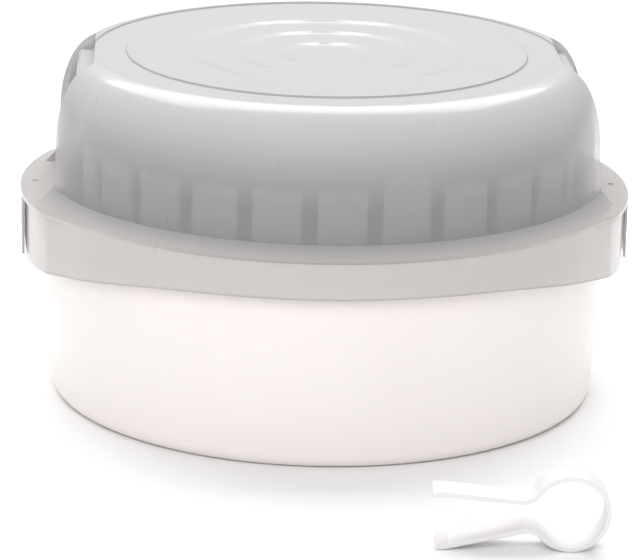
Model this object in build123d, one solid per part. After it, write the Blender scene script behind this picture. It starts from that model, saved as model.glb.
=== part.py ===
from build123d import *
from math import asin, atan2, cos, degrees, hypot, radians, sin, tan
import os

os.makedirs("parts", exist_ok=True)

# Microwave steam sterilizer for baby bottles, with its teat tongs lying in front.
# A white bowl holds the water, a slatted basket and a bottle rack stand in it, and a
# translucent lid with two side grips closes it.
# Millimetres, +Z up, front at -Y. The origin is the middle of the bowl's underside.

# Bowl
bowl_radius = 131.2          # outside of the wall at the rim
bowl_height = 93.1
bowl_draft = 3.2             # degrees that the wall leans in towards the foot
bowl_wall = 2.5
foot_rounding = 5.6
rim_overhang = 0.9           # the rim stands out this far from the wall
rim_depth = 4.0
relief_depth = 0.8           # ring under the bowl that stays off the table
relief_inner = 46.0
relief_width = 58.0
rib_count = 6
rib_height = 11.5            # the basket stands this far above the bowl's floor
rib_length = 26.0
rib_width = 3.0

# Lid
lid_wall = 2.2
lid_fit = 0.5                # between the bowl's rim and the lid's skirt
skirt_wall = 3.4
skirt_front_drop = 16.2      # from the lid's flange to the skirt's lower edge
skirt_side_drop = 33.5
skirt_curl = 0.3             # how sharply the lower edge turns down towards the grips
dome_height = 62.4           # from the flange to the crest
ledge_width = 1.6            # flat part of the flange outside the dome
flare_height = 6.2           # slanting foot of the dome
flare_width = 5.6
dome_draft = 4.5
seat_overlap = 0.5           # the lid's opening is this much smaller in radius than the bowl's
shoulder_rise = 38.0         # height and width of the dome's rounded shoulder
shoulder_width = 19.0
rim_sink = 0.8               # the ring inside the crest lies this far below it
crest_width = 1.2
disc_radius = 91.5
terrace_radii = (66.0, 44.5, 23.7)
terrace_drop = 0.8
terrace_ramp = 9.5           # how far a step slopes at its left and right ends
terrace_step = 0.9           # and at its front and back
recess_half_width = 31.5     # finger recess in each side of the dome, at its top
recess_draft = 4.0           # its two ends spread downwards
recess_cut = 2.3             # how far it reaches into the flat of the crest
recess_drop = 7.4            # depth of the shelf at its top
recess_depth = 13.6          # from the dome's side to its back, at the shelf
recess_lean = 5.6
recess_rounding = 2.4

# Side grips of the lid
grip_half_angle = 23.5
grip_reach = 4.0             # how far a grip's plate stands out from the flange
grip_swell = 2.0             # how far the skirt under it stands out
grip_blend_angle = 7.5       # over which both run out into the round
grip_blend_radius = 20.0
tab_half_angle = 8.0         # thin tab that hangs in front of each grip
tab_wall = 1.1
tab_drop = 29.6
dimple_diameter = 2.8
dimple_depth = 1.4
dimple_inset = 7.0           # from the grip's edge

# Basket
basket_gap = 6.6             # between the basket and the bowl at the basket's floor
basket_wall = 2.4
basket_floor = 2.4
basket_headroom = 33.5       # from the slats' tops to the underside of the lid's crest
slat_count = 26
slot_width = 7.0
slot_phase = -96.0           # direction of one slot's middle
hoop_height = 50.0           # the slats are joined by a hoop this far up
hoop_depth = 9.0             # height of that hoop and of the solid band at the foot
tall_rise = 9.0              # two opposite slats are taller, to lift the basket by
tall_step = 1.5              # slots from the first slot's middle to the first tall slat
recess_gap = 3.0             # between the basket and the lid's finger recesses
drain_rows = (38.0, 84.0)    # inner radii of the two rings of drain slots
drain_lengths = (32.0, 20.0)
drain_counts = (12, 26)
drain_width = 5.0

# Bottle rack
seat_gap = 0.3               # between pieces that rest on each other
rack_gap = 5.0               # between the rack's plate and the basket
rack_plate = 2.4
bottle_count = 6
bottle_circle = 69.0
bottle_hole = 26.0           # radius of the opening round each peg
peg_height = 52.0
peg_radius = 11.0
peg_fin = 2.4
peg_taper = 0.62
post_radius = 9.0
post_headroom = 26.8         # from the knob to the underside of the lid's crest
knob_radius = 15.0
knob_height = 8.0

# Tongs
tongs_loop = 15.3            # middle radius of the spring loop
tongs_strip = 2.0            # thickness of the strip
tongs_width = 14.6
tongs_neck_gap = 12.4        # between the two strips where they come closest
tongs_neck_radius = 9.0
tongs_flare = 9.3            # degrees that each arm leans away from the middle
tongs_arm = 30.0             # straight length of an arm
tongs_tip_radius = 22.0
tongs_tip_turn = 15.0
tongs_split = 0.6            # gap between the two halves at the far side of the loop
tongs_ridges = 4             # small ridges inside each tip
tongs_ridge = 0.5
tongs_side = 91.4            # where the loop's middle lies, right of the bowl's middle
tongs_front = 80.9           # and in front of the lid's edge
tongs_turn = -3.0

# Sizes worked out from those above
bowl_foot_radius = bowl_radius - bowl_height * tan(radians(bowl_draft))
rim_radius = bowl_radius + rim_overhang
skirt_inner = rim_radius + lid_fit
flange_radius = skirt_inner + skirt_wall
flange_under = bowl_height + seat_gap
flange_top = flange_under + lid_wall
crest_top = flange_top + dome_height
dome_foot_radius = flange_radius - ledge_width
shoulder_base = crest_top - shoulder_rise
dome_lean = (shoulder_base - flange_top - flare_height) * tan(radians(dome_draft))
dome_radius = dome_foot_radius - flare_width - dome_lean
crest_radius = dome_radius - shoulder_width
seat_radius = bowl_radius - bowl_wall - seat_overlap
grip_radius = flange_radius + grip_reach
basket_bottom = bowl_wall + rib_height + seat_gap
basket_radius = bowl_foot_radius + basket_bottom * tan(radians(bowl_draft)) - bowl_wall - basket_gap
basket_inner = basket_radius - basket_wall
basket_top = crest_top - lid_wall - basket_headroom
rack_bottom = basket_bottom + basket_floor + seat_gap
rack_radius = basket_inner - rack_gap
post_top = crest_top - lid_wall - post_headroom


def turned(outline):
    """A solid of revolution about Z from a closed outline of radius and height."""
    return revolve(Plane.XZ * make_face(outline), Axis.Z)


def drum(radius, low, high):
    """An upright cylinder between two heights."""
    return Pos(0, 0, low) * Cylinder(radius, high - low, align=(Align.CENTER, Align.CENTER, Align.MIN))


def slab(length, width, low, high):
    """An upright block between two heights."""
    return Pos(0, 0, low) * Box(length, width, high - low, align=(Align.CENTER, Align.CENTER, Align.MIN))


def bowl_solid():
    lean = tan(radians(bowl_draft))
    outside = Polyline(
        (0, 0),
        (bowl_foot_radius, 0),
        (bowl_radius, bowl_height),
        (0, bowl_height),
        close=True,
    )
    body = turned(outside)
    foot_edge = body.edges().filter_by(GeomType.CIRCLE).sort_by(Axis.Z)[0]
    body = fillet(foot_edge, foot_rounding)
    rim_low = bowl_height - rim_depth
    rim = Polyline(
        (bowl_radius - bowl_wall, rim_low - rim_overhang),
        (bowl_radius - rim_depth * lean - bowl_wall / 2, rim_low - rim_overhang),
        (rim_radius, rim_low),
        (rim_radius, bowl_height),
        (bowl_radius - bowl_wall, bowl_height),
        close=True,
    )
    body = body + turned(rim)
    inner_foot = bowl_foot_radius + bowl_wall * lean - bowl_wall
    hollow = Polyline(
        (0, bowl_wall),
        (inner_foot, bowl_wall),
        (bowl_radius - bowl_wall, bowl_height),
        (0, bowl_height),
        close=True,
    )
    hollow = turned(hollow)
    hollow_edge = hollow.edges().filter_by(GeomType.CIRCLE).sort_by(Axis.Z)[0]
    body = body - fillet(hollow_edge, foot_rounding - bowl_wall / 2)
    body = body - (drum(relief_inner + relief_width, 0, relief_depth) - drum(relief_inner, 0, relief_depth))
    rib = slab(rib_length, rib_width, bowl_wall / 2, bowl_wall + rib_height)
    for direction in PolarLocations(basket_radius - rib_length / 2, rib_count, start_angle=90):
        body = body + direction * rib
    top_edges = body.edges().filter_by(GeomType.CIRCLE).group_by(Axis.Z)[-1]
    return fillet(top_edges, rim_overhang / 2)


def dome_outline(shrink, foot, low, high):
    """Half outline of the dome: the outer skin, or the inner one when shrink is the wall."""
    shoulder = EllipticalCenterArc(
        (crest_radius, shoulder_base),
        shoulder_width - shrink,
        shoulder_rise - shrink,
        start_angle=0,
        arc_size=90,
    )
    side = Polyline(
        (0, low),
        (foot, low),
        (foot, flange_top),
        (dome_radius + dome_lean - shrink, flange_top + flare_height),
        (dome_radius - shrink, shoulder_base),
    )
    cap = Polyline((crest_radius, high), (0, high), (0, low))
    return make_face(side + shoulder + cap)


def recess_block(shrink, low):
    """The finger recess at +X: a shelf under the crest, a back that leans out, ends that spread."""
    shelf = crest_top - recess_drop - shrink
    back = dome_radius - recess_depth - shrink
    foot = back + (shelf - low) * tan(radians(recess_lean))
    edge = crest_radius - recess_cut - shrink
    top = crest_top + lid_wall
    far = 2 * flange_radius
    outline = ((foot, low), (back, shelf), (edge, shelf), (edge, top), (far, top), (far, low))
    profile = make_face(Polyline(outline, close=True))
    bends = profile.vertices().sort_by_distance((back - recess_rounding, shelf, 0))[:2]
    profile = fillet(bends, recess_rounding)
    cut = extrude(Plane.XZ * profile, far, both=True)
    ends = []
    for level in (low, top):
        half_width = recess_half_width + shrink + (crest_top - level) * tan(radians(recess_draft))
        ends.append(Pos(far, 0, level) * Rectangle(2 * far, 2 * half_width))
    return cut & loft(ends)


def terrace(radius, top):
    """A shallow step down whose edge is short at front and back and slopes at the ends."""
    mouth = Pos(0, 0, top) * Circle(radius)
    bed = Pos(0, 0, top - terrace_drop) * Ellipse(radius - terrace_ramp, radius - terrace_step)
    return loft([bed, mouth], ruled=True)


def edge_fall(share):
    """How far the skirt's edge has dipped, from 0 at the front to 1 at the grips."""
    return (1 + skirt_curl) * share ** 4 / (1 + skirt_curl * share ** 8)


def grip_disc(reach, low, high):
    """A disc of the flange's radius whose two sides stand out further, to lift the lid by."""
    far = flange_radius + reach
    outer = radians(grip_half_angle)
    inner = radians(grip_half_angle + grip_blend_angle)
    tip = (far * cos(outer), far * sin(outer))
    root = (flange_radius * cos(inner), flange_radius * sin(inner))
    side = Polyline((0, 0), root, tip)
    face = make_face(side + ThreePointArc(tip, (far, 0), (tip[0], -tip[1])) + mirror(side, Plane.XZ))
    face = Circle(flange_radius) + face + Rot(0, 0, 180) * face
    face = fillet(face.vertices(), grip_blend_radius)
    return Pos(0, 0, low) * extrude(face, high - low)


def skirt_cut():
    """What lies below the skirt's lower edge, which dips towards the two side grips."""
    front = flange_top - skirt_front_drop
    dip = skirt_side_drop - skirt_front_drop
    far = grip_radius + 2 * skirt_wall + dip
    right = [(grip_radius * share, front - dip * edge_fall(share)) for share in (0.0, 0.4, 0.6, 0.8)]
    right.append((far, front - dip))
    left = [(-x, z) for x, z in reversed(right[1:])]
    edge = Spline(left + right, tangents=[(1, 0), (1, 0)])
    low = front - 3 * dip
    closing = Polyline(right[-1], (far, low), (-far, low), left[0])
    return extrude(Plane.XZ * make_face(edge + closing), far, both=True)


def skirt_solid():
    """The band round the bowl's rim, which swells out under the two side grips."""
    low = flange_top - 2 * skirt_side_drop
    band = grip_disc(grip_swell, low, flange_under) - drum(skirt_inner, low, flange_under)
    return band - skirt_cut()


def lid_solid():
    skin = Plane.XZ * dome_outline(0, dome_foot_radius, flange_under, crest_top)
    skin = revolve(skin, Axis.Z)
    void = Plane.XZ * dome_outline(lid_wall, seat_radius, 0, crest_top - lid_wall)
    void = revolve(void, Axis.Z)
    for side in (0, 180):
        skin = skin - Rot(0, 0, side) * recess_block(0, flange_top)
        void = void - Rot(0, 0, side) * recess_block(lid_wall, flange_under)
    sink = drum(crest_radius - crest_width, crest_top - rim_sink, crest_top)
    skin = skin - (sink - drum(disc_radius, crest_top - rim_sink, crest_top))
    # Each step is followed on the inside, so that the wall keeps its thickness.
    level = crest_top
    for radius in terrace_radii:
        skin = skin - terrace(radius, level)
        level = level - terrace_drop
        void = void - drum(radius, level - lid_wall, crest_top)
    flange = grip_disc(grip_reach, flange_under, flange_top)
    body = skin + flange + skirt_solid() - void
    for side in (0, 180):
        body = body + Rot(0, 0, side) * tab_solid()
    for side in (-1, 1):
        place = Pos(side * (grip_radius - dimple_inset), 0, flange_top)
        body = body - place * Cylinder(dimple_diameter / 2, 2 * dimple_depth)
    return body


def tab_solid():
    """The thin tab at +X. It hangs from the edge of the grip's plate, clear of the skirt."""
    section = Polyline(
        (grip_radius - tab_wall, flange_under),
        (grip_radius - tab_wall, flange_top - tab_drop),
        (grip_radius, flange_top - tab_drop),
        (grip_radius, flange_under),
        close=True,
    )
    tab = revolve(Plane.XZ * make_face(section), Axis.Z, revolution_arc=2 * tab_half_angle)
    return Rot(0, 0, -tab_half_angle) * tab


def basket_solid():
    tall = basket_top + tall_rise
    body = drum(basket_radius, basket_bottom, tall) - drum(basket_inner, basket_bottom + basket_floor, tall)
    pitch = 360 / slat_count
    hoop_low = basket_bottom + hoop_height - hoop_depth / 2
    through = 4 * basket_wall
    low_slot = slab(through, slot_width, basket_bottom + hoop_depth, hoop_low)
    high_slot = slab(through, slot_width, hoop_low + hoop_depth, tall)
    cuts = []
    for index in range(slat_count):
        turn = Rot(0, 0, slot_phase + index * pitch) * Pos(basket_inner, 0, 0)
        cuts.append(turn * low_slot)
        cuts.append(turn * high_slot)
    # The slats are level, apart from the two tall ones.
    top_cut = drum(basket_radius + basket_wall, basket_top, tall)
    top_cut = top_cut - drum(basket_inner - basket_wall, basket_top, tall)
    tab = slab(through, basket_radius * radians(pitch), basket_top, tall)
    for side in (0, 180):
        turn = Rot(0, 0, slot_phase + tall_step * pitch + side)
        top_cut = top_cut - turn * Pos(basket_radius, 0, 0) * tab
    cuts.append(top_cut)
    # Both sides are low, so that the wall passes under the lid's finger recesses.
    low_half = recess_half_width + lid_wall + dome_height * tan(radians(recess_draft)) + recess_gap
    gate = slab(basket_radius, 2 * low_half, flange_under - recess_gap, tall)
    for side in (-1, 1):
        cuts.append(Pos(side * basket_radius, 0, 0) * gate)
    for start, length, count in zip(drain_rows, drain_lengths, drain_counts):
        drain = extrude(SlotOverall(length, drain_width), basket_floor)
        for direction in PolarLocations(start + length / 2, count):
            cuts.append(direction * Pos(0, 0, basket_bottom) * drain)
    return body - cuts


def peg_solid():
    """A cross of two tapering fins that goes into the neck of a bottle."""
    tip = peg_radius * peg_taper
    outline = Polyline(
        (-peg_radius, 0),
        (peg_radius, 0),
        (tip, peg_height),
        (-tip, peg_height),
        close=True,
    )
    fin = extrude(Plane.XZ * make_face(outline), peg_fin / 2, both=True)
    return fin + Rot(0, 0, 90) * fin


def rack_solid():
    plate = drum(rack_radius, 0, rack_plate)
    bar = slab(2 * bottle_hole + peg_fin, 2 * peg_fin, 0, rack_plate)
    hole = drum(bottle_hole, 0, rack_plate)
    keepers = Part()
    for direction in PolarLocations(bottle_circle, bottle_count, start_angle=30):
        plate = plate - direction * hole
        keepers = keepers + direction * (bar + Rot(0, 0, 90) * bar)
        keepers = keepers + direction * peg_solid()
    post_height = post_top - rack_bottom
    post = drum(post_radius, 0, post_height - knob_height / 2)
    knob = drum(knob_radius, post_height - knob_height, post_height)
    knob = fillet(knob.edges().filter_by(GeomType.CIRCLE), knob_height / 3)
    return Pos(0, 0, rack_bottom) * (plate + keepers + post + knob)


def tongs_line():
    """Middle line of the upper half: the loop, the neck, the arm and the bent tip."""
    reach = tongs_loop + tongs_neck_radius
    neck_direction = 180 - degrees(asin((tongs_neck_gap / 2 + tongs_neck_radius) / reach))
    loop = CenterArc((0, 0), tongs_loop, 0, neck_direction)
    heading = neck_direction + 90
    neck = JernArc(loop @ 1, loop % 1, tongs_neck_radius, 180 - tongs_flare - heading)
    arm = Line(neck @ 1, neck @ 1 + (neck % 1) * tongs_arm)
    tip = JernArc(arm @ 1, arm % 1, tongs_tip_radius, tongs_tip_turn)
    return loop, neck, arm, tip


def tongs_half():
    """Upper half of the tongs about the loop's middle, its tips towards -X."""
    loop, neck, arm, tip = tongs_line()
    path = Wire([loop.edge(), neck.edge(), arm.edge(), tip.edge()])
    strip = make_face(path.offset_2d(tongs_strip / 2, side=Side.BOTH))
    split = Pos(tongs_loop, 0) * Rectangle(2 * tongs_strip, tongs_split)
    below = Pos(tongs_loop, -tongs_strip) * Rectangle(2 * tongs_strip, 2 * tongs_strip)
    half = strip - split - below
    for index in range(tongs_ridges):
        along = (index + 0.5) / tongs_ridges
        inward = (tip % along).rotate(Axis.Z, 90)
        half = half + Pos(tip @ along + inward * tongs_strip / 2) * Circle(tongs_ridge)
    return half


def tongs_solids():
    half = tongs_half()
    tip = tongs_line()[3]
    # The tongs lie on the loop and on the bend of the lower tip.
    outer = tongs_loop + tongs_strip / 2
    bend = tip.arc_center
    rest = outer - tongs_tip_radius - tongs_strip / 2
    lie = degrees(asin(rest / hypot(bend.X, bend.Y)) - atan2(bend.Y, -bend.X))
    place = Pos(tongs_side, -(flange_radius + tongs_front), outer) * Rot(0, 0, tongs_turn) * Rot(0, -lie, 0)
    upper = extrude(Plane.XZ * half, tongs_width / 2, both=True)
    lower = extrude(Plane.XZ * mirror(half, Plane.XZ), tongs_width / 2, both=True)
    print("the tongs lean", round(lie, 2), "degrees")
    return place * upper, place * lower


upper_arm, lower_arm = tongs_solids()
pieces = {
    "base_bowl": bowl_solid(),
    "basket": basket_solid(),
    "bottle_rack": rack_solid(),
    "lid": lid_solid(),
    "tongs_lower": lower_arm,
    "tongs_upper": upper_arm,
}
for name, shape in pieces.items():
    export_step(shape, f"parts/{name}.step")
    box = shape.bounding_box()
    print(name, "from", box.min, "to", box.max)
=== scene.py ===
from math import asin, atan2, cos, hypot, pi, radians, sin, sqrt

import bmesh
import bpy
from mathutils import Matrix, Vector


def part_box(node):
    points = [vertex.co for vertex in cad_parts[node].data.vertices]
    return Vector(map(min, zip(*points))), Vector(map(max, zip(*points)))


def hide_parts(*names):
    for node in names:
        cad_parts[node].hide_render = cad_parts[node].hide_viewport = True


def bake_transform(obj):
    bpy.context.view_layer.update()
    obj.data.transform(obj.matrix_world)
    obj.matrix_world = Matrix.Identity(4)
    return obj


# Microwave sterilizer: bowl, basket, bottle rack, translucent lid and a pair of tongs

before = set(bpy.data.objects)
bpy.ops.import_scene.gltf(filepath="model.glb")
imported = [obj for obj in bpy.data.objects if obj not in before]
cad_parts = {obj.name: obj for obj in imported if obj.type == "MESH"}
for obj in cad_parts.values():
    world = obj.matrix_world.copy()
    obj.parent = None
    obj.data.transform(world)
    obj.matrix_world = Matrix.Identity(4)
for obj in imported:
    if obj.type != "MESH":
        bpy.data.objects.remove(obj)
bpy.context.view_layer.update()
mm = 0.001
white = (1, 1, 1, 1)


# Small helpers for meshes and node trees

smoothBelow = radians(35)      # faces that meet at a smaller angle are shaded as one


def meshObject(name, vertices, faces):
    mesh = bpy.data.meshes.new(name)
    mesh.from_pydata(vertices, [], faces)
    mesh.validate()
    shape = bmesh.new()
    shape.from_mesh(mesh)
    bmesh.ops.recalc_face_normals(shape, faces=shape.faces)
    shape.to_mesh(mesh)
    shape.free()
    mesh.shade_smooth()
    mesh.set_sharp_from_angle(angle=smoothBelow)
    piece = bpy.data.objects.new(name, mesh)
    bpy.context.scene.collection.objects.link(piece)
    return piece


def feed(tree, target, value):
    # A socket is linked to the target, and anything else becomes the target's own value.
    if isinstance(value, bpy.types.NodeSocket):
        tree.links.new(value, target)
    else:
        target.default_value = value


def addNode(tree, kind, settings=None, **values):
    node = tree.nodes.new(kind)
    for key, value in (settings or {}).items():
        setattr(node, key, value)
    for key, value in values.items():
        feed(tree, node.inputs[key], value)
    return node


def mathNode(tree, operation, *values):
    node = addNode(tree, "ShaderNodeMath", {"operation": operation})
    for slot, value in enumerate(values):
        feed(tree, node.inputs[slot], value)
    return node.outputs[0]


def rangeNode(tree, value, low, high, interpolation="LINEAR"):
    # 0 at low and 1 at high, which may be the smaller one.
    limits = {"From Min": low, "From Max": high}
    settings = {"interpolation_type": interpolation}
    return addNode(tree, "ShaderNodeMapRange", settings, Value=value, **limits).outputs[0]


def noiseNode(tree, place, scale, detail, roughness):
    values = {"Vector": place, "Scale": scale, "Detail": detail, "Roughness": roughness}
    return addNode(tree, "ShaderNodeTexNoise", **values).outputs["Fac"]


def mixColours(tree, factor, first, second):
    mix = addNode(tree, "ShaderNodeMix", {"data_type": "RGBA"}, Factor=factor)
    colours = [socket for socket in mix.inputs if socket.type == "RGBA"]
    feed(tree, colours[0], first)
    feed(tree, colours[1], second)
    return next(socket for socket in mix.outputs if socket.type == "RGBA")


def objectPlace(tree):
    return tree.nodes.new("ShaderNodeTexCoord").outputs["Object"]


def splitAxes(tree, place):
    return addNode(tree, "ShaderNodeSeparateXYZ", Vector=place)


def newGroup(name, inputs, outputs):
    group = bpy.data.node_groups.new(name, "ShaderNodeTree")
    for side, labels in (("INPUT", inputs), ("OUTPUT", outputs)):
        for label in labels:
            kind = "NodeSocketColor" if label == "Color" else "NodeSocketFloat"
            socket = group.interface.new_socket(label, in_out=side, socket_type=kind)
            if side == "INPUT":
                socket.default_value = inputs[label]
    return group, group.nodes.new("NodeGroupInput"), group.nodes.new("NodeGroupOutput")


def placeGroup(tree, group, values):
    return addNode(tree, "ShaderNodeGroup", {"node_tree": group}, **values)


# Camera, where the photograph was taken from

cameraSetup = {
    "place": (-77.9 * mm, -1464.6 * mm, 484.9 * mm),
    "heading": radians(3.0),       # clockwise, seen from above
    "pitch": radians(16.577),      # below level
    "roll": radians(1.154),
    "lens": 184.56,
    "sensor": 36,
    "near": 0.05,
    "far": 50,
}


def makeCamera():
    setup = cameraSetup
    heading, pitch, roll = setup["heading"], setup["pitch"], setup["roll"]
    forward = Vector((sin(heading) * cos(pitch), cos(heading) * cos(pitch), -sin(pitch)))
    level = Vector((cos(heading), -sin(heading), 0))
    upright = level.cross(forward)
    right = level * cos(roll) + upright * sin(roll)
    up = upright * cos(roll) - level * sin(roll)
    turn = Matrix((right, up, -forward)).transposed()
    lens = bpy.data.cameras.new("photoCamera")
    lens.lens = setup["lens"]
    lens.sensor_width = setup["sensor"]
    lens.clip_start = setup["near"]
    lens.clip_end = setup["far"]
    camera = bpy.data.objects.new("photoCamera", lens)
    camera.matrix_world = Matrix.Translation(setup["place"]) @ turn.to_4x4()
    bpy.context.scene.collection.objects.link(camera)
    bpy.context.scene.camera = camera


makeCamera()
print("camera placed")


# Floor, light and background

stageSetup = {
    "floorSize": 8.0,
    "floorColour": (0.93, 0.925, 0.93, 1),
    "floorRoughness": 0.7,
    "worldLight": 0.5,
    "shownLight": 1.0,             # what the camera sees behind the floor is plain white
}


def makeFloor():
    half = stageSetup["floorSize"] / 2
    corners = [(-half, -half, 0), (half, -half, 0), (half, half, 0), (-half, half, 0)]
    floor = meshObject("floor", corners, [(0, 1, 2, 3)])
    material = bpy.data.materials.new("paleFloor")
    material.use_nodes = True
    surface = material.node_tree.nodes["Principled BSDF"]
    surface.inputs["Base Color"].default_value = stageSetup["floorColour"]
    surface.inputs["Roughness"].default_value = stageSetup["floorRoughness"]
    floor.data.materials.append(material)


def makeWorld():
    world = bpy.data.worlds.new("studio")
    bpy.context.scene.world = world
    world.use_nodes = True
    tree = world.node_tree
    light = tree.nodes["Background"]
    light.inputs["Color"].default_value = white
    light.inputs["Strength"].default_value = stageSetup["worldLight"]
    shown = addNode(tree, "ShaderNodeBackground", Color=white, Strength=stageSetup["shownLight"])
    rays = tree.nodes.new("ShaderNodeLightPath")
    mix = addNode(tree, "ShaderNodeMixShader", Fac=rays.outputs["Is Camera Ray"])
    tree.links.new(light.outputs[0], mix.inputs[1])
    tree.links.new(shown.outputs[0], mix.inputs[2])
    tree.links.new(mix.outputs[0], tree.nodes["World Output"].inputs["Surface"])


lampSetup = {
    "over": {
        "place": (0.0, 0.8, 1.5), "aim": (0, 0.2, 0.1), "size": (2.4, 1.4), "power": 37, "glossy": True,
    },
    "front": {
        "place": (-0.5, -2.4, 2.1), "aim": (0, 0, 0.08), "size": (2.6, 1.6), "power": 42, "glossy": False,
    },
}


def makeLamps():
    for name, lamp in lampSetup.items():
        data = bpy.data.lights.new(name, "AREA")
        data.shape = "RECTANGLE"
        data.size, data.size_y = lamp["size"]
        data.energy = lamp["power"]
        lampObject = bpy.data.objects.new(name, data)
        aim = Vector(lamp["aim"]) - Vector(lamp["place"])
        lampObject.rotation_euler = aim.to_track_quat("-Z", "Y").to_euler()
        lampObject.location = lamp["place"]
        lampObject.visible_glossy = lamp["glossy"]
        bpy.context.scene.collection.objects.link(lampObject)


makeFloor()
makeWorld()
makeLamps()
print("stage lit")


# Effects that the plastics share, as node groups

skinLook = {
    "spokes": 9.0,                 # how fast the streaks change round the piece
    "spokeChange": 14.0,           # and with height, per metre
    "streaks": (1.6, 4.0, 0.55),   # a noise's scale, detail and roughness
    "clouds": (22.0, 5.0, 0.6),
    "grain": (2.0, 0.5),           # detail and roughness: each plastic has its own scale
    "tint": (0.35, 0.36, 0.38, 1),
    "roughen": 0.16,
    "polish": -0.12,
    "cloudHeight": 2.0,            # against the grain's height of 1
}


def buildMouldedSkin():
    look = skinLook
    inputs = {"Color": (0.9, 0.9, 0.9, 1), "Roughness": 0.4, "Mottle": 0.04, "Flow": 0.5, "Grain": 900.0}
    group, start, end = newGroup("mouldedSkin", inputs, ("Color", "Roughness", "Height"))
    place = objectPlace(group)
    axes = splitAxes(group, place)
    # Plastic flows outwards from the gate in the middle, so its streaks are spokes.
    angle = mathNode(group, "ARCTAN2", axes.outputs["Y"], axes.outputs["X"])
    around = mathNode(group, "MULTIPLY", angle, look["spokes"])
    along = mathNode(group, "MULTIPLY", axes.outputs["Z"], look["spokeChange"])
    spokes = addNode(group, "ShaderNodeCombineXYZ", X=around, Y=along)
    streaks = noiseNode(group, spokes.outputs[0], *look["streaks"])
    clouds = noiseNode(group, place, *look["clouds"])
    grain = noiseNode(group, place, start.outputs["Grain"], *look["grain"])
    flow = mathNode(group, "MULTIPLY", streaks, start.outputs["Flow"])
    blend = mathNode(group, "ADD", clouds, flow)
    amount = mathNode(group, "MULTIPLY", blend, start.outputs["Mottle"])
    swing = mathNode(group, "MULTIPLY_ADD", blend, look["roughen"], look["polish"])
    rough = mathNode(group, "ADD", start.outputs["Roughness"], swing)
    height = mathNode(group, "MULTIPLY_ADD", clouds, look["cloudHeight"], grain)
    feed(group, end.inputs["Color"], mixColours(group, amount, start.outputs["Color"], look["tint"]))
    feed(group, end.inputs["Roughness"], rough)
    feed(group, end.inputs["Height"], height)
    return group


def newLayer(name):
    # A layer takes the surface under it, and gives it back with its marks on it.
    inputs = {"Color": (0.9, 0.9, 0.9, 1), "Roughness": 0.4, "Height": 0.5, "Amount": 0.5}
    return newGroup(name, inputs, ("Color", "Roughness", "Height"))


def layMarks(group, start, end, marks, look):
    marks = mathNode(group, "MULTIPLY", marks, start.outputs["Amount"])
    share = mathNode(group, "MULTIPLY", marks, look["tintShare"])
    feed(group, end.inputs["Color"], mixColours(group, share, start.outputs["Color"], look["tint"]))
    for label, gain in (("Roughness", look["roughen"]), ("Height", look["raise"])):
        changed = mathNode(group, "MULTIPLY_ADD", marks, gain, start.outputs[label])
        feed(group, end.inputs[label], changed)


scuffLook = {
    "families": ((0.5, (18.0, 900.0, 18.0)), (-0.9, (700.0, 22.0, 22.0))),     # turn and stretch
    "tilt": 0.3,
    "lines": (1.0, 2.0, 0.4),
    "lineRange": (0.64, 0.74),
    "patches": (14.0, 3.0, 0.5),
    "patchRange": (0.45, 0.7),
    "tint": (0.96, 0.96, 0.97, 1),
    "tintShare": 0.22,
    "roughen": 0.25,
    "raise": -0.3,
}


def buildScuffs():
    look = scuffLook
    group, start, end = newLayer("scuffs")
    place = objectPlace(group)
    # Two families of hairlines cross each other where the piece is wiped.
    families = []
    for turn, stretch in look["families"]:
        rotation = (look["tilt"], turn, turn)
        mapping = addNode(group, "ShaderNodeMapping", Vector=place, Rotation=rotation, Scale=stretch)
        lines = noiseNode(group, mapping.outputs[0], *look["lines"])
        families.append(rangeNode(group, lines, *look["lineRange"]))
    hairlines = mathNode(group, "MAXIMUM", *families)
    patches = noiseNode(group, place, *look["patches"])
    worn = rangeNode(group, patches, *look["patchRange"])
    layMarks(group, start, end, mathNode(group, "MULTIPLY", hairlines, worn), look)
    return group


filmLook = {
    "dropScale": 150.0,
    "ringRadius": 0.22,            # this and the width are in cells of the drops' pattern
    "ringWidth": 0.05,
    "areas": (16.0, 3.0, 0.6),
    "areaRange": (0.52, 0.72),
    "tint": (0.8, 0.79, 0.76, 1),
    "tintShare": 0.12,
    "roughen": 0.2,
    "raise": 0.6,
}


def buildMineralFilm():
    look = filmLook
    group, start, end = newLayer("mineralFilm")
    place = objectPlace(group)
    drops = addNode(group, "ShaderNodeTexVoronoi", Vector=place, Scale=look["dropScale"])
    # A dried drop leaves a ring, so the mark is strongest at one distance from its middle.
    past = mathNode(group, "SUBTRACT", drops.outputs["Distance"], look["ringRadius"])
    ring = rangeNode(group, mathNode(group, "ABSOLUTE", past), look["ringWidth"], 0.0)
    areas = noiseNode(group, place, *look["areas"])
    where = rangeNode(group, areas, *look["areaRange"])
    layMarks(group, start, end, mathNode(group, "MULTIPLY", ring, where), look)
    return group


# Painted light: the warm white that the skirt's colour is lifted toward, for the bowl's light seen through
# it.
paintedBowlLightTint = (1.0, 0.92, 0.85, 1)


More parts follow.
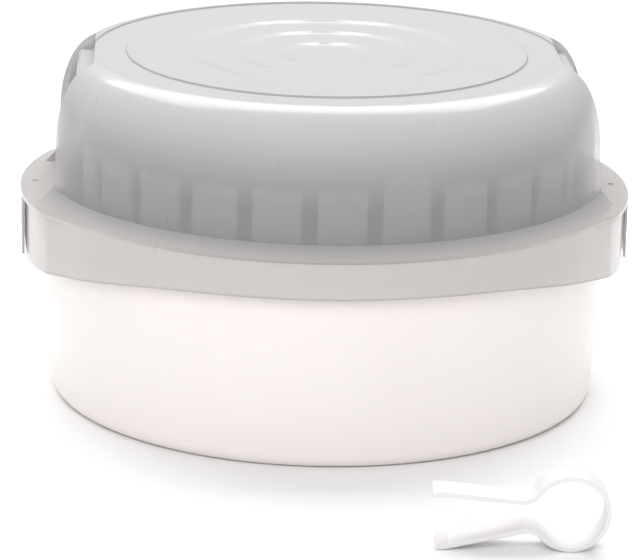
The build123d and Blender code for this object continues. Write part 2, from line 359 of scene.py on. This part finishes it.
def buildMilkyWallPaintedLight():
    # Painted light: the skirt's colour is lifted toward a warm white where the white bowl backs it, up to
    # the foot of the dome's wall, standing in for the bowl's light seen through the plastic.
    # The curved top is the densest part, and there the colour is also lifted toward white as a painted
    # highlight of the light from above.
    inputs = {
        "Color": (0.9, 0.9, 0.9, 1), "Edge": 0.09, "Fade": 0.01, "Foot": 0.1, "Lift": 0.4, "Top Lift": 0.2,
        "Skirt Alpha": 0.8, "Side Alpha": 0.5, "Top Alpha": 0.9, "Dense And Lit From": 0.12, "Dense And Lit To": 0.15,
    }
    group, start, end = newGroup("milkyWallPaintedLight", inputs, ("Color", "Alpha"))
    given = start.outputs
    height = splitAxes(group, objectPlace(group)).outputs["Z"]
    fadeEnd = mathNode(group, "ADD", given["Edge"], given["Fade"])
    backed = rangeNode(group, height, fadeEnd, given["Edge"], "SMOOTHSTEP")
    denseAndLitTop = rangeNode(group, height, given["Dense And Lit From"], given["Dense And Lit To"], "SMOOTHSTEP")
    belowFoot = mathNode(group, "LESS_THAN", height, given["Foot"])
    # Painted highlight: toward the top the colour is lifted toward white by Top Lift, for the light
    # falling from above; the same share also makes the wall denser.
    paintedTopHighlight = mathNode(group, "MULTIPLY", denseAndLitTop, given["Top Lift"])
    above = mixColours(group, paintedTopHighlight, given["Color"], white)
    shownBacked = mathNode(group, "MULTIPLY", backed, belowFoot)
    # Painted light: below the foot the colour is lifted toward the warm tint, by Lift, where the bowl
    # backs the skirt.
    paintedBowlLight = mathNode(group, "MULTIPLY", shownBacked, given["Lift"])
    gain = mathNode(group, "SUBTRACT", given["Top Alpha"], given["Side Alpha"])
    wall = mathNode(group, "MULTIPLY_ADD", denseAndLitTop, gain, given["Side Alpha"])
    dense = mathNode(group, "MULTIPLY", belowFoot, given["Skirt Alpha"])
    feed(group, end.inputs["Color"], mixColours(group, paintedBowlLight, above, paintedBowlLightTint))
    feed(group, end.inputs["Alpha"], mathNode(group, "MAXIMUM", dense, wall))
    return group


mouldedSkin = buildMouldedSkin()
milkyWallPaintedLight = buildMilkyWallPaintedLight()
scuffs = buildScuffs()
mineralFilm = buildMineralFilm()
print("shared effects built")


bevelSamples = 4


def edgeRadius(tree, finish):
    if "hemRadius" not in finish:
        return finish["softEdge"]
    # The lid's hem, below hemTop, is rounded more than its other edges.
    height = splitAxes(tree, objectPlace(tree)).outputs["Z"]
    below = mathNode(tree, "LESS_THAN", height, finish["hemTop"])
    more = finish["hemRadius"] - finish["softEdge"]
    return mathNode(tree, "MULTIPLY_ADD", below, more, finish["softEdge"])


def plasticMaterial(name, finish):
    material = bpy.data.materials.new(name)
    material.use_nodes = True
    tree = material.node_tree
    surface = tree.nodes["Principled BSDF"]
    for key, value in finish["surface"].items():
        surface.inputs[key].default_value = value
    colour = (*finish["colour"], 1)
    if "wall" in finish:
        wall = placeGroup(tree, milkyWallPaintedLight, {"Color": colour, **finish["wall"]})
        feed(tree, surface.inputs["Alpha"], wall.outputs["Alpha"])
        colour = wall.outputs["Color"]
    last = placeGroup(tree, mouldedSkin, {"Color": colour, **finish["skin"]})
    for group, amount in ((mineralFilm, finish["film"]), (scuffs, finish["scuffs"])):
        under = {key: last.outputs[key] for key in ("Color", "Roughness", "Height")}
        last = placeGroup(tree, group, {"Amount": amount, **under})
    bump = addNode(tree, "ShaderNodeBump", Strength=finish["bump"], Distance=finish["bumpDepth"])
    feed(tree, bump.inputs["Height"], last.outputs["Height"])
    if "softEdge" in finish:
        radius = edgeRadius(tree, finish)
        bevel = addNode(tree, "ShaderNodeBevel", {"samples": bevelSamples}, Radius=radius)
        feed(tree, bump.inputs["Normal"], bevel.outputs["Normal"])
    feed(tree, surface.inputs["Base Color"], last.outputs["Color"])
    feed(tree, surface.inputs["Roughness"], last.outputs["Roughness"])
    feed(tree, surface.inputs["Normal"], bump.outputs["Normal"])
    return material


# The four plastics

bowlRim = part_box("base_bowl")[1].z
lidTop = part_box("lid")[1].z

lidFinish = {
    "colour": (0.402, 0.388, 0.405),
    "skin": {"Roughness": 0.3, "Mottle": 0.1, "Flow": 0.6, "Grain": 420.0},
    "wall": {
        "Edge": bowlRim + 0.4 * mm, "Fade": 9.5 * mm, "Foot": bowlRim + 8.7 * mm,
        "Dense And Lit From": lidTop - 46.0 * mm, "Dense And Lit To": lidTop - 5.0 * mm,
        # Lift paints the bowl's light behind the skirt into the colour, and Top Lift paints a highlight of
        # the light from above onto the top.
        "Lift": 0.42, "Top Lift": 0.32,
        "Skirt Alpha": 0.85, "Side Alpha": 0.46, "Top Alpha": 0.93,
    },
    "film": 0.1,
    "scuffs": 0.04,
    "bump": 0.12,
    "bumpDepth": 0.2 * mm,
    "softEdge": 0.7 * mm,
    "hemRadius": 2.4 * mm,
    "hemTop": bowlRim - 5.1 * mm,
    "surface": {"IOR": 1.49, "Coat Weight": 0.5, "Coat Roughness": 0.08},
}
bowlFinish = {
    "colour": (0.912, 0.858, 0.832),
    "skin": {"Roughness": 0.32, "Mottle": 0.03, "Flow": 0.5, "Grain": 520.0},
    "film": 0.4,
    "scuffs": 0.6,
    "bump": 0.14,
    "bumpDepth": 0.2 * mm,
    "softEdge": 1.0 * mm,
    "surface": {"IOR": 1.49, "Coat Weight": 0.25, "Coat Roughness": 0.12},
}
basketFinish = {
    "colour": (0.87, 0.87, 0.86),
    "skin": {"Roughness": 0.5, "Mottle": 0.05, "Flow": 0.3, "Grain": 1100.0},
    "film": 0.9,
    "scuffs": 0.3,
    "bump": 0.3,
    "bumpDepth": 0.2 * mm,
    "softEdge": 0.6 * mm,
    "surface": {"IOR": 1.49},
}
tongsFinish = {
    "colour": (0.8, 0.79, 0.8),
    "skin": {"Roughness": 0.42, "Mottle": 0.03, "Flow": 0.1, "Grain": 1300.0},
    "film": 0.3,
    "scuffs": 0.8,
    "bump": 0.25,
    "bumpDepth": 0.15 * mm,
    "surface": {"IOR": 1.49, "Subsurface Weight": 0.1, "Subsurface Scale": 2.0 * mm},
}

lidPlastic = plasticMaterial("lidPlastic", lidFinish)
bowlPlastic = plasticMaterial("bowlPlastic", bowlFinish)
basketPlastic = plasticMaterial("basketPlastic", basketFinish)
tongsPlastic = plasticMaterial("tongsPlastic", tongsFinish)

finishes = {
    "lid": lidPlastic,
    "base_bowl": bowlPlastic,
    "basket": basketPlastic,
    "bottle_rack": basketPlastic,
}
for node, material in finishes.items():
    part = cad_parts[node]
    part.data.materials.clear()
    part.data.materials.append(material)
print("plastics assigned")


# Tongs: one bent strip, which the model has in two halves for its hinge

tongsShape = {
    "loop": 15.3 * mm,             # this radius and the others are the strip's middle line's
    "strip": 2.0 * mm,
    "width": 14.6 * mm,
    "edge": 0.55 * mm,             # rounding of the strip's long edges
    "neckGap": 12.4 * mm,
    "neckRadius": 9.0 * mm,
    "flare": radians(9.3),         # each arm leans outwards to its tip
    "arm": 30.0 * mm,
    "tipRadius": 22.0 * mm,
    "tipTurn": radians(15.0),
    "ridges": 5,
    "ridgeHeight": 0.45 * mm,
    "place": (91.4 * mm, -216.9 * mm),
    "turn": radians(-3.0),
    "blend": 4.0 * mm,             # half the stretch of the loop that flexes, measured across it
    "endShare": 0.45,              # thickness of the strip's very end, as a share
    "loopSteps": 40,
    "neckSteps": 14,
    "armSteps": 8,
    "ridgeSteps": 8,
    "cornerSteps": 4,
    "endSteps": 4,
}


def arcPoints(centre, radius, first, last, count):
    angles = [first + (last - first) * i / count for i in range(count + 1)]
    return [(centre[0] + radius * cos(a), centre[1] + radius * sin(a), a) for a in angles]


def tongsPath():
    # Upper half, from the far side of the loop to the tip: place, outward direction, ridge share.
    shape = tongsShape
    flare, neckRadius, tipRadius = shape["flare"], shape["neckRadius"], shape["tipRadius"]
    reach = shape["loop"] + neckRadius
    leave = pi - asin((shape["neckGap"] / 2 + neckRadius) / reach)
    points = [(x, y, a, 0) for x, y, a in arcPoints((0, 0), shape["loop"], 0, leave, shape["loopSteps"])]
    neckCentre = (reach * cos(leave), reach * sin(leave))
    neck = arcPoints(neckCentre, neckRadius, leave + pi, 1.5 * pi - flare, shape["neckSteps"])
    points += [(x, y, a - pi, 0) for x, y, a in neck[1:]]
    outward = pi / 2 - flare
    neckX, neckY = points[-1][:2]
    for i in range(1, shape["armSteps"] + 1):
        run = shape["arm"] * i / shape["armSteps"]
        points.append((neckX - run * cos(flare), neckY + run * sin(flare), outward, 0))
    armX, armY = points[-1][:2]
    bendCentre = (armX - tipRadius * cos(outward), armY - tipRadius * sin(outward))
    tipSteps = shape["ridgeSteps"] * shape["ridges"]
    tip = arcPoints(bendCentre, tipRadius, outward, outward + shape["tipTurn"], tipSteps)
    for i, (x, y, a) in enumerate(tip[1:]):
        points.append((x, y, a, sin(pi * i / shape["ridgeSteps"]) ** 2))
    return points, bendCentre


def stripSection():
    # Rounded rectangle: offset across the strip's thickness and along its width.
    edge = tongsShape["edge"]
    halfThick = tongsShape["strip"] / 2 - edge
    halfWide = tongsShape["width"] / 2 - edge
    section = []
    for corner, (across, along) in enumerate(((1, 1), (-1, 1), (-1, -1), (1, -1))):
        for step in range(tongsShape["cornerSteps"] + 1):
            a = (corner + step / tongsShape["cornerSteps"]) * pi / 2
            section.append((across * halfThick + edge * cos(a), along * halfWide + edge * sin(a)))
    return section


def tongsPlacing(bendCentre):
    # The loop and the lower tip both touch the floor, which tilts the tongs by lie.
    shape = tongsShape
    outer = shape["loop"] + shape["strip"] / 2
    rest = outer - shape["tipRadius"] - shape["strip"] / 2
    lie = asin(rest / hypot(*bendCentre)) - atan2(bendCentre[1], -bendCentre[0])
    lift = Matrix.Translation((*shape["place"], outer))
    return lift @ Matrix.Rotation(shape["turn"], 4, "Z") @ Matrix.Rotation(-lie, 4, "Y")


def sweepStrip(path, place):
    shape, endSteps = tongsShape, tongsShape["endSteps"]
    section = stripSection()
    vertices, faces = [], []
    for index, (x, y, outward, ridge) in enumerate(path):
        # The two ends are rounded off over their last sections.
        fromEnd = min(index, len(path) - 1 - index, endSteps)
        ease = sqrt(1 - (1 - fromEnd / endSteps) ** 2)
        shrink = shape["endShare"] + (1 - shape["endShare"]) * ease
        for thick, wide in section:
            offset = thick * shrink - (ridge * shape["ridgeHeight"] if thick < 0 else 0)
            wide -= (1 - shrink) * shape["edge"] * (1 if wide > 0 else -1)
            vertices.append(place @ Vector((x + offset * cos(outward), -wide, y + offset * sin(outward))))
    count = len(section)
    lastRow = len(vertices) - count
    for row in range(0, lastRow, count):
        for column in range(count):
            a, b = row + column, row + (column + 1) % count
            faces.append((a, b, b + count, a + count))
    faces.append(tuple(range(count)))
    faces.append(tuple(range(lastRow, len(vertices))))
    return vertices, faces


def makeTongs():
    upper, bendCentre = tongsPath()
    lower = [(x, -y, -a, ridge) for x, y, a, ridge in upper]
    place = tongsPlacing(bendCentre)
    tongs = meshObject("tongs", *sweepStrip(lower[:0:-1] + upper, place))
    tongs.data.materials.append(tongsPlastic)
    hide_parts("tongs_lower", "tongs_upper")
    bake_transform(tongs)


makeTongs()
print("tongs made")

bpy.context.scene.view_settings.view_transform = "Standard"
